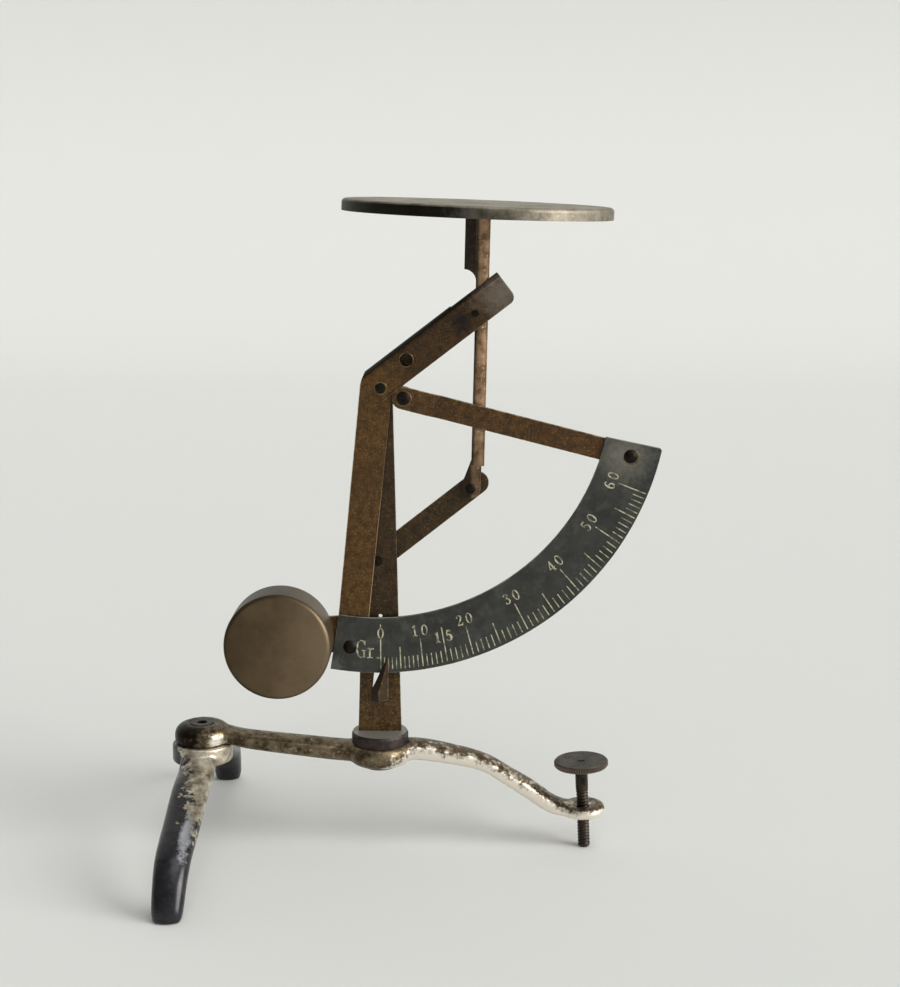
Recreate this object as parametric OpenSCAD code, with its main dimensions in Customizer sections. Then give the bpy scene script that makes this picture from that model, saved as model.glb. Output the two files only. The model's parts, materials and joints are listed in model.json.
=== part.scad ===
// Pendulum letter scale with a folding cross-leg base, a parallelogram pan carrier and a quadrant.
// X runs to the right, Y away from the reader of the scale, Z up; the scale stands on Z = 0.

/* [Linkage] */
// Height of the fulcrum pin above the table
fulcrum_z = 130.3; // [127:0.1:134]
// Distance between the two pivots on the post
pivot_gap = 48.3; // [46:0.1:50]
// Lean of the line through those pivots, to the right at the top
pivot_lean = 1.35; // [0:0.05:2]
// Lever arm from the fulcrum to the pin of the pan stem
arm_len = 32.8; // [32:0.1:34]
// Rise of that arm at rest
arm_rest = 38.25; // [36:0.25:40]
// Radius of the fulcrum pin and of the link pins
pin_r = 1; // [0.8:0.05:1.2]
// Radius of a pin's peened head
pin_head_r = 1.5; // [1.35:0.05:1.7]
// Height of a pin's peened head
pin_head_h = 0.3; // [0.2:0.05:0.35]
// Radial clearance of a turning pin
pin_clear = 0.05; // [0.02:0.01:0.08]

/* [Sheet metal] */
// Thickness of the strip that the levers are made of
strip_t = 0.9; // [0.8:0.05:1]
// Thickness of the post
post_t = 1.4; // [1.2:0.05:1.5]
// Side play between the post and the lever's two cheeks
side_gap = 0.45; // [0.4:0.05:0.6]
// Thickness of the pan's sheet
pan_t = 0.7; // [0.5:0.05:1]

/* [Post] */
// Width of the post where it stands on the collar
post_foot_w = 12; // [11:0.05:13]
// Width of the post at the fulcrum
post_top_w = 7; // [6.4:0.1:7.4]
// Height of the bend where the pointer tongue leaves the post
tongue_z = 42.8; // [41:0.1:44]
// Width of the pointer tongue and of the slot that it is cut from
tongue_w = 4.5; // [4:0.1:5]
// Length of the tapering slot
slot_len = 23.6; // [22:0.1:25]
// Height of the pointer's tip above its bend
pointer_rise = 12.5; // [11:0.1:13]
// Play between the pointer and the face of the quadrant
pointer_gap = 0.5; // [0.4:0.05:0.8]
// Tenon width below the post's foot
tenon_w = 6; // [5:0.1:7]

/* [Balance lever] */
// Height of the folded arm's back above the fulcrum
arm_above = 5.95; // [5.7:0.05:6.2]
// Depth of the arm's lower edge below the fulcrum
arm_below = 3.3; // [3:0.05:3.6]
// Pitch of the folded arm
arm_pitch = 37.5; // [36:0.25:39]
// Length of the arm past the fulcrum
arm_end = 44.1; // [42:0.1:46]
// Length of the arm's folded back, which stops short of the stem
back_end = 28.5; // [26:0.1:29]
// Radius of the round hole in the arm
arm_hole_r = 1.8; // [1.5:0.05:2]
// Width of the hanging bar
bar_w = 8.4; // [8:0.1:9]
// Sideways lean of the hanging bar
bar_lean = 5.75; // [5:0.05:6.5]

/* [Quadrant] */
// Outer radius of the scale plate
quadrant_r = 79.5; // [78.5:0.1:80]
// Radial width of the scale plate
quadrant_w = 15.7; // [15:0.05:16]
// Angle from straight down to the plate's left end
quadrant_left = 9.4; // [9:0.1:10]
// Angle from straight down to the plate's right end
quadrant_right = 78.2; // [76:0.1:79]
// Radius of the plate's outer right corner
quadrant_corner = 0.8; // [0.5:0.1:2.5]
// Width of the strut
strut_w = 6.15; // [5.6:0.05:6.4]
// Radius of a plate rivet
rivet_r = 1.1; // [0.9:0.05:1.2]
// Radius of a plate rivet's domed head
rivet_head_r = 1.9; // [1.6:0.05:2.1]

/* [Counterweight] */
// Radius of the counterweight
weight_r = 14.6; // [14:0.1:15.2]
// Thickness of the counterweight
weight_t = 11.5; // [10.5:0.1:12]
// Wall of the counterweight's shell
weight_wall = 1; // [0.8:0.05:1.4]
// Rounding of the counterweight's front edge
weight_round = 1.3; // [0.8:0.1:1.8]
// Thickness of the slug that trims the balance
slug_t = 7; // [5:0.1:8]

/* [Pan and stem] */
// Radius of the pan
pan_r = 36.5; // [36:0.1:39]
// Depth of the pan's turned-down rim
pan_rim = 3.2; // [2.8:0.1:3.6]
// Height of the pan's face at its middle
pan_z = 180.2; // [178:0.1:182]
// Slope of the pan, down to the right
pan_tilt = 2.2; // [1:0.1:3]
// Width of the stem's rolled rib
rib_w = 3.6; // [3.4:0.05:3.8]
// Bulge of the rib in front of the stem's flat
rib_bulge = 0.8; // [0.6:0.05:0.85]
// Width of the lower link
link_w = 6.2; // [5.6:0.1:6.6]
// Length of the lower link past each of its pins
link_over = 2.4; // [1.5:0.1:3]

/* [Base] */
// Distance from the post to the leg hub's axis
hub_reach = 50; // [47:0.5:53]
// Radius of the base arm's hub
hub_r = 7.7; // [7.2:0.1:8]
// Height of the joint face between the arm's hub and the legs
hub_face_z = 29.9; // [28.5:0.1:31]
// Height of the hub's crown above that face
hub_h = 5.45; // [4.8:0.05:5.8]
// Radius of the legs' own hub
leg_hub_r = 8.4; // [8:0.1:8.8]
// Thickness of the legs' own hub
leg_hub_t = 5.2; // [4.6:0.1:5.6]
// Distance from the hub's axis to the middle of a foot
leg_reach = 52; // [48:0.5:54]
// Width of a leg
leg_w = 10; // [9:0.1:11]
// Distance that each foot is swept back behind the hub's axis
leg_sweep = 1.1; // [0:0.1:2]
// Radius of the tubular rivet that joins the hubs
hub_rivet_r = 1.9; // [1.6:0.05:2.1]
// Radius of the boss under the post
boss_r = 9.5; // [9:0.1:10]
// Thickness of the collar between the post and the boss
collar_t = 3.1; // [2.5:0.1:3.5]
// Radius of the collar
collar_r = 7.9; // [7.4:0.1:8.2]
// Distance from the post to the levelling screw's eye
eye_reach = 56.9; // [55:0.1:59]
// Height of the middle of the eye
eye_z = 11; // [10:0.1:12]
// Radius of the eye
eye_r = 6.3; // [5.8:0.1:6.8]
// Thickness of the eye
eye_t = 3.2; // [2.8:0.1:3.6]

/* [Levelling screw] */
// Radius of the screw over its thread
screw_r = 1.75; // [1.5:0.05:2]
// Lean of the screw, to the left at the top
screw_lean = 2.5; // [0:0.1:3]
// Height of the knurled knob's top face above the table
knob_top_z = 25.2; // [24:0.1:27]
// Radius of the knob
knob_r = 7.55; // [7:0.05:8]
// Thickness of the knob
knob_t = 1.7; // [1.4:0.1:2]
// Number of ridges round the knob
knob_ridges = 72; // [48:4:96]

/* [Hidden] */
$fn = 64;
fit = 0.02;
run_gap = 0.05;
cut = 0.5;
clear_h = 10;

// Sideways places, with the middle of the whole scale at X = 0.
right_angle = quadrant_right - asin(quadrant_corner / (quadrant_r - quadrant_corner));
quadrant_dx = -0.55;
right_edge = quadrant_dx + (quadrant_r - quadrant_corner) * sin(right_angle) + quadrant_corner;
left_edge = -hub_reach - leg_hub_r;
post_x = -(right_edge + left_edge) / 2;
hub_x = post_x - hub_reach;
eye_x = post_x + eye_reach;

// Layers along Y, from the front.
cheek_in = post_t / 2 + side_gap;
cheek_out = cheek_in + strip_t;
plate_back = -cheek_out;
plate_front = plate_back - strip_t;

// The four pivots of the parallelogram, as [x, z].
fulcrum_off = 0.6;
lean_dir = [sin(pivot_lean), cos(pivot_lean)];
fulcrum = [post_x + fulcrum_off, fulcrum_z];
link_pivot = fulcrum - pivot_gap * lean_dir;
arm_step = arm_len * [cos(arm_rest), sin(arm_rest)];
stem_pivot = fulcrum + arm_step;
link_end = link_pivot + arm_step;

// Lever places, from the fulcrum.
bar_left = -5.4;
bar_foot = 3.5 - quadrant_r;
tab_z = 15.9 - quadrant_r;
strut_at = [6.25, -2.66];
ear_r = strut_w / 2;
weight_at = [-27.7, 9.9 - quadrant_r];
tab_r = 5;
hole_at = [10.35, 1.75];
quadrant_at = [quadrant_dx - fulcrum_off, 0];
function on_plate(turn, inward) = quadrant_at + (quadrant_r - inward) * [sin(turn), -cos(turn)];
rivet_left = on_plate(3.5 - quadrant_left, 7);
rivet_right = on_plate(quadrant_right - 3.1, 7.9);

// Stem places, from the stem's pin along the stem.
rib_x = rib_w / 2;
flat_front = -rib_bulge / 4 - 0.05;
stem_left = -3.2;
stem_cut_z = 8.5;
stem_cut_r = 3.2;
ear_top = -40.3;
rib_foot = -41.9;
ear_hold_r = 2.7;
hidden_ear_r = 2.8;
foot_w = 6.8;
foot_len = 8.6;
foot_hole_y = 5;
sink_h = 0.45;
sink_r = 1.7;
clench_h = 0.4;
link_front = post_t / 2 + 0.15;
pan_off = 27.1;
pan_x = post_x + pan_off;

// Base heights.
boss_top = hub_face_z + 0.4;
collar_top = boss_top + collar_t;
boss_h = 6.1;
boss_foot = boss_top - boss_h;
washer_t = 1;
washer_r = 4.6;
tenon_end = boss_foot - washer_t - 0.8;
leg_base_z = hub_face_z - run_gap - leg_hub_t;
rivet_rim_r = 3.3;
rivet_rim_t = 0.6;
rivet_foot_t = 1;
crown_z = hub_face_z + hub_h;
loft_sides = 20;
loft_steps = 4;

// A flat outline in the X-Z plane, from y = front to y = front + thick.
module upright(front, thick) {
    translate([0, front + thick, 0])
        rotate([90, 0, 0])
            linear_extrude(thick)
                children();
}

// Moves to a point given as [x, z].
module at(p) {
    translate([p[0], 0, p[1]]) children();
}

// A round bar along Y, between two values of y.
module pin_y(r, y0, y1) {
    translate([0, y1, 0])
        rotate([90, 0, 0])
            cylinder(r = r, h = y1 - y0);
}

// A low domed head along Y that starts at y and stands out towards the sign given.
module dome_y(r, h, y, side) {
    ball = (r * r + h * h) / (2 * h);
    arc = [for (i = [0 : 8]) [r * i / 8, sqrt(ball * ball - pow(r * i / 8, 2)) - ball + h]];
    translate([0, y, 0])
        rotate([side < 0 ? 90 : -90, 0, 0])
            rotate_extrude()
                polygon(concat([[0, 0]], arc, [[r, 0]]));
}

// A rivet along Y: shank from y0 to y1 with a dome on each end.
module rivet_y(r, head_r, head_h, y0, y1) {
    pin_y(r, y0, y1);
    dome_y(head_r, head_h, y0, -1);
    dome_y(head_r, head_h, y1, 1);
}

// Smooth curve through stations, each [along, up, half width, half height].
function curve4(a, b, c, d, t) =
    0.5 * (2 * b + (c - a) * t + (2 * a - 5 * b + 4 * c - d) * t * t + (3 * b - a - 3 * c + d) * t * t * t);
function pick(s, i) = s[max(0, min(len(s) - 1, i))];
function smooth(s, n) = [
    for (i = [0 : len(s) - 2], j = [0 : n - 1])
        curve4(pick(s, i - 1), pick(s, i), pick(s, i + 1), pick(s, i + 2), j / n),
    s[len(s) - 1]
];
function heading(s, i) =
    let (a = pick(s, i - 1), b = pick(s, i + 1), d = [b[0] - a[0], b[1] - a[1]])
    d / norm(d);
function rounded(v) = sign(v) * pow(abs(v), 0.88);

// Body lofted along the X-Z plane through such stations; bow bends it sideways as a parabola.
module loft(stations, bow = 0) {
    s = smooth(stations, loft_steps);
    n = loft_sides;
    rings = [
        for (i = [0 : len(s) - 1], j = [0 : n - 1])
            let (h = heading(s, i), a = 360 * j / n, up = s[i][3] * rounded(sin(a)))
            [s[i][0] - h[1] * up, bow * s[i][0] * s[i][0] + s[i][2] * rounded(cos(a)), s[i][1] + h[0] * up]
    ];
    sides = [
        for (i = [0 : len(s) - 2], j = [0 : n - 1])
            let (a = i * n + j, b = i * n + (j + 1) % n)
            each [[a, b + n, b], [a, a + n, b + n]]
    ];
    first = [for (j = [0 : n - 1]) j];
    last = [for (j = [0 : n - 1]) len(s) * n - 1 - j];
    polyhedron(rings, concat([first], sides, [last]), convexity = 6);
}

// Height of the arm's middle line where it leaves the boss to the right.
neck_z = boss_top - 2.2;
function left(f) = post_x - f * hub_reach;
function right(f) = post_x + f * eye_reach;
arm_stations = [
    [left(0.96), hub_face_z + 2.3, 4.6, 2.2],
    [left(0.87), hub_face_z + 2.2, 4.5, 2.15],
    [left(0.75), hub_face_z + 0.75, 4.35, 2.4],
    [left(0.45), neck_z + 0.8, 4.2, 2.75],
    [left(0.18), neck_z - 0.5, 4.6, 2.8],
    [left(0), neck_z - 0.3, 5, 2.7],
    [right(0.18), neck_z, 4.7, 2.8],
    [right(0.38), neck_z - 1.8, 4.1, 2.55],
    [right(0.515), neck_z - 3.9, 3.9, 2.3],
    [right(0.62), neck_z - 7.4, 3.9, 2.35],
    [right(0.733), neck_z - 11.4, 3.9, 2.5],
    [right(0.847), eye_z + 1.3, 4.1, 2.3],
    [right(0.94), eye_z, 4.6, 1.7]
];

// Hub crown: a thick dome with a flat middle.
module hub_crown() {
    flat_r = 4.2;
    dome_h = 2.9;
    bevel = 0.5;
    dome = [for (a = [0 : 15 : 90]) [flat_r + (hub_r - flat_r) * cos(a), crown_z - dome_h * (1 - sin(a))]];
    translate([hub_x, 0, 0])
        rotate_extrude()
            polygon(concat([[0, hub_face_z], [hub_r - bevel, hub_face_z], [hub_r, hub_face_z + bevel]],
                dome, [[0, crown_z]]));
}

// Barrel-shaped boss that carries the post.
module boss() {
    round_r = 2.4;
    round_h = 3;
    belly = [for (a = [-50 : 10 : 50]) [boss_r - round_r * (1 - cos(a)), boss_top - 2.6 + round_h * sin(a)]];
    translate([post_x, 0, 0])
        rotate_extrude()
            polygon(concat([[0, boss_foot], [boss_r - round_r, boss_foot]], belly,
                [[collar_r + 0.2, boss_top], [0, boss_top]]));
}

module eye_frame() {
    translate([eye_x, 0, eye_z])
        rotate([0, -screw_lean, 0])
            children();
}

module tenon_hole() {
    translate([post_x - tenon_w / 2 - fit, -post_t / 2 - fit, tenon_end])
        cube([tenon_w + 2 * fit, post_t + 2 * fit, collar_top - tenon_end + cut]);
}

// Eye of the levelling screw, with blunted edges.
module eye() {
    blunt = 0.9;
    rise = eye_t / 2;
    rotate_extrude()
        polygon([[0, -rise], [eye_r - blunt, -rise], [eye_r, blunt - rise], [eye_r, rise - blunt],
            [eye_r - blunt, rise], [0, rise]]);
}

// Threaded hole of the eye, worn to a funnel at its top.
module eye_hole() {
    funnel_r = 3.9;
    funnel_z = 0.4;
    hole_r = screw_r + pin_clear;
    rotate_extrude()
        polygon([[0, -eye_t], [hole_r, -eye_t], [hole_r, funnel_z], [funnel_r, eye_t / 2 + 0.6],
            [funnel_r, eye_t], [0, eye_t]]);
}

module base_arm() {
    color("#8b8170")
        difference() {
            union() {
                loft(arm_stations);
                hub_crown();
                boss();
                eye_frame() eye();
            }
            translate([hub_x, 0, hub_face_z - cut])
                cylinder(r = hub_rivet_r + fit, h = hub_h + 2 * cut);
            translate([hub_x, 0, crown_z - rivet_rim_t - fit])
                cylinder(r = rivet_rim_r + fit, h = rivet_rim_t + 2 * cut);
            tenon_hole();
            translate([hub_x, 0, hub_face_z - clear_h]) cylinder(r = leg_hub_r + 0.4, h = clear_h);
            translate([post_x, 0, boss_top]) cylinder(r = collar_r + 0.2, h = clear_h);
            translate([post_x, 0, boss_foot - clear_h]) cylinder(r = boss_r, h = clear_h);
            eye_frame() eye_hole();
        }
}

// Stations of one leg, as shares of its reach, height and width.
leg_top = hub_face_z - run_gap;
function leg_at(out, up, wide, thick) = [out * leg_reach, up * leg_top, wide * leg_w, thick * leg_w];
leg_half = [
    leg_at(0, 0.917, 0.49, 0.19),
    leg_at(0.149, 0.876, 0.5, 0.2),
    leg_at(0.216, 0.807, 0.51, 0.26),
    leg_at(0.382, 0.751, 0.515, 0.3),
    leg_at(0.618, 0.596, 0.5, 0.31),
    leg_at(0.831, 0.447, 0.48, 0.32),
    leg_at(0.933, 0.276, 0.45, 0.33),
    leg_at(0.988, 0.104, 0.42, 0.32),
    leg_at(1.002, 0.035, 0.39, 0.29),
    leg_at(1.007, -0.0085, 0.34, 0.25)
];
function flipped(s) = [-s[0], s[1], s[2], s[3]];
leg_stations = concat([for (i = [len(leg_half) - 1 : -1 : 1]) flipped(leg_half[i])], leg_half);

module cross_legs() {
    color("#3a3634")
        translate([hub_x, 0, 0])
            difference() {
                union() {
                    rotate([0, 0, 90]) loft(leg_stations, leg_sweep / (leg_reach * leg_reach));
                    translate([0, 0, leg_base_z]) cylinder(r = leg_hub_r, h = leg_hub_t);
                }
                translate([0, 0, leg_base_z - cut]) cylinder(r = hub_rivet_r + pin_clear, h = leg_hub_t + 2 * cut);
                translate([0, 0, leg_base_z - clear_h]) cylinder(r = rivet_rim_r + 0.3, h = clear_h);
                for (z = [-clear_h, leg_top])
                    translate([-leg_hub_r, -2 * leg_reach, z]) cube([2 * leg_hub_r, 4 * leg_reach, clear_h]);
            }
}

// Tubular rivet: rolled rim above, flat rim below, open down the middle.
module hub_rivet() {
    rim_z = crown_z - rivet_rim_t;
    bore_r = hub_rivet_r - 0.5;
    bore_h = 2;
    color("#4a443d")
        translate([hub_x, 0, 0])
            difference() {
                union() {
                    translate([0, 0, leg_base_z - rivet_foot_t]) cylinder(r = hub_rivet_r, h = rim_z - leg_base_z + 2 * rivet_rim_t);
                    translate([0, 0, rim_z]) cylinder(r = rivet_rim_r, h = rivet_rim_t);
                    translate([0, 0, leg_base_z - rivet_foot_t - run_gap]) cylinder(r = rivet_rim_r, h = rivet_foot_t);
                }
                translate([0, 0, rim_z - bore_h]) cylinder(r = bore_r, h = 2 * bore_h);
            }
}

knob_along = (knob_top_z - eye_z) / cos(screw_lean);
neck_r = screw_r * 0.6;
tip_r = 1.3;
tip_along = (eye_z - tip_r * sin(screw_lean)) / cos(screw_lean);

module levelling_screw() {
    bevel = 0.4;
    tip = [[0, -tip_along], [tip_r, -tip_along], [screw_r, -tip_along + bevel]];
    neck = knob_along - knob_t;
    shoulder_r = screw_r + 0.5;
    peened = knob_along + 0.15;
    color("#5a4f43")
        eye_frame()
            rotate_extrude()
                polygon(concat(tip, [
                    [screw_r, neck - bevel], [shoulder_r, neck - bevel], [shoulder_r, neck],
                    [neck_r, neck], [neck_r, peened], [0, peened]
                ]));
}

module levelling_knob() {
    step = 180 / knob_ridges;
    edge = 0.3;
    rim = [for (i = [0 : 2 * knob_ridges - 1]) (i % 2 == 0 ? knob_r : knob_r - edge) * [cos(i * step), sin(i * step)]];
    color("#4a443d")
        eye_frame()
            translate([0, 0, knob_along - knob_t])
                difference() {
                    union() {
                        translate([0, 0, edge]) linear_extrude(knob_t - 2 * edge) polygon(rim);
                        cylinder(r = knob_r - edge - 0.05, h = knob_t);
                    }
                    translate([0, 0, -cut]) cylinder(r = neck_r + fit, h = knob_t + 2 * cut);
                }
}

module collar() {
    bevel_h = 0.7;
    bevel_w = 0.35;
    color("#5e5450")
        difference() {
            translate([post_x, 0, boss_top])
                rotate_extrude()
                    polygon([[0, 0], [collar_r, 0], [collar_r, collar_t - bevel_h], [collar_r - bevel_w, collar_t],
                        [0, collar_t]]);
            tenon_hole();
        }
}

module post_washer() {
    color("#5e5450")
        difference() {
            translate([post_x, 0, boss_foot - washer_t]) cylinder(r = washer_r, h = washer_t);
            tenon_hole();
        }
}

// Folded pointer tongue: a bent foot, then a tapering blade with a ridge down its front.
module pointer_tongue() {
    back = plate_front - pointer_gap;
    ridge = back - 1.5;
    blade = [[-0.48 * tongue_w, back], [0.55 * tongue_w, back], [0, ridge]];
    tip_x = 2.5;
    bend_h = 3;
    module blade_foot() {
        translate([0, 0, tongue_z + 0.3]) linear_extrude(bend_h) polygon(blade);
    }
    translate([post_x, 0, 0]) {
        hull() {
            translate([-tongue_w / 2, -post_t / 2 - 0.1, tongue_z]) cube([tongue_w, 0.2, post_t]);
            translate([0, 0, tongue_z + 0.3]) linear_extrude(post_t) polygon(blade);
        }
        hull() {
            blade_foot();
            translate([tip_x - 0.2, back - 0.75, tongue_z + pointer_rise - 0.2]) cube([0.4, 0.5, 0.2]);
        }
    }
}

module post_outline() {
    foot = post_foot_w / 2;
    top = post_top_w / 2;
    top_x = fulcrum_off - 0.2;
    polygon([[-foot, collar_top], [foot, collar_top], [top_x + top, fulcrum_z], [top_x - top, fulcrum_z]]);
    translate([top_x, fulcrum_z]) circle(r = top);
}

// Slot left by the tongue, ending above in a small round hole.
module slot_outline() {
    end_r = 0.55;
    end_x = 0.3;
    slot_top = tongue_z + slot_len;
    polygon([[-tongue_w / 2, tongue_z], [tongue_w / 2, tongue_z], [end_x + 0.4, slot_top], [end_x - 0.4, slot_top]]);
    translate([end_x, slot_top]) circle(r = end_r);
}

module post() {
    color("#4a3a26") {
        difference() {
            union() {
                translate([post_x, 0, 0])
                    upright(-post_t / 2, post_t)
                        difference() {
                            post_outline();
                            slot_outline();
                        }
                translate([post_x - tenon_w / 2, -post_t / 2, tenon_end])
                    cube([tenon_w, post_t, collar_top - tenon_end + cut]);
                pointer_tongue();
            }
            at(fulcrum) pin_y(pin_r + pin_clear, -post_t, post_t);
            at(link_pivot) pin_y(pin_r + fit, -post_t, post_t);
        }
    }
}

// Quarter turn of radius r about c, clockwise from the angle given.
function corner(c, r, from) = [for (a = [from : -15 : from - 90]) c + r * [cos(a), sin(a)]];

// Outline of the folded arm seen from the front, from the fulcrum along the arm.
module arm_outline() {
    nose = 2;
    shoulder = 0.9;
    top = arm_above + 0.1;
    polygon(concat(
        [[-3.8, -arm_below + 1.5], [-3.8, 3.9], [-2.5, 4.9], [-0.5, top]],
        corner([arm_end - shoulder, top - shoulder], shoulder, 90),
        corner([arm_end - nose, nose - arm_below], nose, 0),
        [[-2.4, -arm_below]]
    ));
}

// Section across the arm: two cheeks joined by a half-round fold.
module fold_section(half, reach) {
    translate([-half, -arm_below - reach]) square([2 * half, arm_above - cheek_out + arm_below + reach]);
    translate([0, arm_above - cheek_out]) circle(r = half);
}

module folded_arm() {
    behind = 10;
    beyond = 10;
    rotate([0, -arm_pitch, 0])
        difference() {
            intersection() {
                upright(-cheek_out, 2 * cheek_out) arm_outline();
                translate([-behind, 0, 0])
                    rotate([90, 0, 90])
                        linear_extrude(arm_end + behind + beyond) fold_section(cheek_out, 1);
            }
            translate([-behind - 1, 0, 0])
                rotate([90, 0, 90])
                    linear_extrude(arm_end + behind + beyond + 2) fold_section(cheek_in, 2);
            translate([back_end, -cheek_in, -arm_below - 1])
                cube([arm_end - back_end + 1, 2 * cheek_in, arm_above + arm_below + 2]);
        }
}

module bar_outline() {
    drop = tan(bar_lean);
    left_low = bar_left + bar_foot * drop;
    polygon([
        [bar_left + 0.6, 2.4], [bar_left, 0.8], [left_low, bar_foot], [left_low + bar_w, bar_foot],
        [bar_left + bar_w, -arm_below], [bar_left + bar_w + 2.6, -1.2], [0, arm_above - 1.5]
    ]);
    translate(strut_at) circle(r = ear_r);
    translate(weight_at) circle(r = tab_r);
    polygon([
        [bar_left + tab_z * drop, tab_z], [weight_at[0], weight_at[1] + tab_r], [weight_at[0], weight_at[1] - tab_r],
        [left_low, bar_foot + 2]
    ]);
}

module lever_holes() {
    pin_y(pin_r + fit, -cheek_out - cut, cheek_out + cut);
    at(stem_pivot - fulcrum) pin_y(pin_r + fit, -cheek_out - cut, cheek_out + cut);
    for (p = [strut_at, rivet_left])
        at(p) pin_y(rivet_r + fit, -cheek_out - cut, -cheek_in + cut);
    at(weight_at) pin_y(pin_r + fit, -cheek_out - cut, -cheek_in + cut);
    rotate([0, -arm_pitch, 0])
        translate([hole_at[0], 0, hole_at[1]])
            pin_y(arm_hole_r, -cheek_out - cut, -cheek_in + cut);
}

// The bar's faces lie a hair inside the arm's, so that the two never share a plane.
module balance_lever() {
    hair = 0.01;
    color("#5a4630")
        at(fulcrum)
            difference() {
                union() {
                    folded_arm();
                    upright(-cheek_out + hair, strip_t - 2 * hair) bar_outline();
                }
                lever_holes();
            }
}

module fulcrum_pin() {
    color("#2e2620")
        at(fulcrum) rivet_y(pin_r, pin_head_r, pin_head_h, -cheek_out, cheek_out);
}

module stem_pin() {
    color("#2e2620")
        at(stem_pivot) pin_y(pin_r, -cheek_out - 0.15, cheek_out + 0.15);
}

// Strut outline laid along X from its lever rivet, bent back by one strip near the lever.
strut_run = rivet_right - strut_at;
strut_len = norm(strut_run);
strut_drop = atan2(-strut_run[1], strut_run[0]);
module strut() {
    joggle = 7.5;
    ramp = 2.5;
    half = strut_w / 2;
    color("#5a4630")
        at(fulcrum + strut_at)
            rotate([0, strut_drop, 0])
                difference() {
                    intersection() {
                        union() {
                            upright(plate_front, 2 * strip_t) circle(r = half);
                            translate([0, plate_front, -half]) cube([strut_len, 2 * strip_t, strut_w]);
                            upright(plate_front, 2 * strip_t) translate([strut_len, 0]) circle(r = half);
                        }
                        translate([0, 0, -half - 1])
                            linear_extrude(strut_w + 2)
                                polygon([
                                    [-half - 1, plate_front], [joggle, plate_front], [joggle + ramp, plate_back],
                                    [strut_len + half + 1, plate_back], [strut_len + half + 1, plate_back + strip_t],
                                    [joggle + ramp - 0.4, plate_back + strip_t], [joggle - 0.4, plate_back],
                                    [-half - 1, plate_back]
                                ]);
                    }
                    pin_y(rivet_r + fit, plate_front - cut, plate_back + strip_t + cut);
                    translate([strut_len, 0, 0]) pin_y(rivet_r + fit, plate_front - cut, plate_back + strip_t + cut);
                }
}

module strut_rivet() {
    color("#2e2620")
        at(fulcrum + strut_at) {
            pin_y(rivet_r, plate_front, -cheek_in);
            dome_y(rivet_head_r, 0.55, plate_front, -1);
        }
}

module quadrant_outline() {
    inner = quadrant_r - quadrant_w;
    far = 2 * quadrant_r;
    rounding = quadrant_r - quadrant_corner;
    difference() {
        intersection() {
            difference() {
                circle(r = quadrant_r, $fn = 180);
                circle(r = inner, $fn = 180);
            }
            polygon([
                [0, 0], far * [-sin(quadrant_left), -cos(quadrant_left)], far * [sin(30), -cos(30)],
                far * [sin(quadrant_right), -cos(quadrant_right)]
            ]);
        }
        difference() {
            polygon([
                rounding * [sin(right_angle), -cos(right_angle)],
                far * [sin(right_angle), -cos(right_angle)],
                far * [sin(quadrant_right + 3), -cos(quadrant_right + 3)],
                rounding * [sin(right_angle), -cos(right_angle)] + 4 * quadrant_corner * [cos(quadrant_right), sin(quadrant_right)]
            ]);
            translate(rounding * [sin(right_angle), -cos(right_angle)]) circle(r = quadrant_corner);
        }
    }
}

module quadrant() {
    color("#3a3e3c")
        at(fulcrum)
            difference() {
                at(quadrant_at) upright(plate_front, strip_t) quadrant_outline();
                for (p = [rivet_left, rivet_right])
                    at(p) pin_y(rivet_r + fit, plate_front - cut, plate_back + cut);
            }
}

module quadrant_rivets() {
    color("#3a3430")
        for (p = [rivet_left, rivet_right])
            at(fulcrum + p) {
                pin_y(rivet_r, plate_front, -cheek_in);
                dome_y(rivet_head_r, 0.8, plate_front, -1);
            }
}

// Turned drum, open at the back, with a rounded front edge.
weight_face = plate_back - weight_t;
cover_t = 1;
module weight_shell() {
    inside = weight_r - weight_wall;
    corner = [for (a = [0 : 15 : 90]) [weight_r - weight_round + weight_round * sin(a), weight_round - weight_round * cos(a)]];
    color("#6a5f50")
        at(fulcrum + weight_at)
            translate([0, weight_face, 0])
                rotate([-90, 0, 0])
                    rotate_extrude($fn = 128)
                        polygon(concat([[0, 0]], corner, [
                            [weight_r, weight_t], [inside, weight_t], [inside, weight_wall + 0.2], [0, weight_wall + 0.2]
                        ]));
}

module weight_slug() {
    color("#77787a")
        at(fulcrum + weight_at)
            difference() {
                pin_y(weight_r - weight_wall - fit, plate_back - cover_t - slug_t, plate_back - cover_t);
                pin_y(pin_r + fit, plate_back - cover_t - slug_t - cut, plate_back + cut);
            }
}

module weight_cover() {
    color("#6a5f50")
        at(fulcrum + weight_at)
            difference() {
                pin_y(weight_r - weight_wall - fit, plate_back - cover_t, plate_back);
                pin_y(pin_r + fit, plate_back - cover_t - cut, plate_back + cut);
            }
}

// Stud through slug, cover and the lever's tab, peened behind the tab.
module weight_stud() {
    color("#4a443d")
        at(fulcrum + weight_at) {
            pin_y(pin_r, plate_back - cover_t - slug_t, -cheek_in);
            pin_y(pin_r + 1.2, plate_back - cover_t - slug_t - 0.8, plate_back - cover_t - slug_t);
            dome_y(pin_head_r, pin_head_h, -cheek_in, 1);
        }
}

module lower_link() {
    color("#4a3a26")
        at(link_pivot)
            rotate([0, -arm_rest, 0])
                difference() {
                    union() {
                        translate([-link_over, link_front, -link_w / 2]) cube([arm_len + 2 * link_over, strip_t, link_w]);
                        for (x = [-link_over, arm_len + link_over])
                            translate([x, 0, 0]) pin_y(link_w / 2, link_front, link_front + strip_t);
                    }
                    pin_y(pin_r + pin_clear, link_front - cut, link_front + strip_t + cut);
                    translate([arm_len, 0, 0]) pin_y(pin_r + fit, link_front - cut, link_front + strip_t + cut);
                }
}

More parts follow.
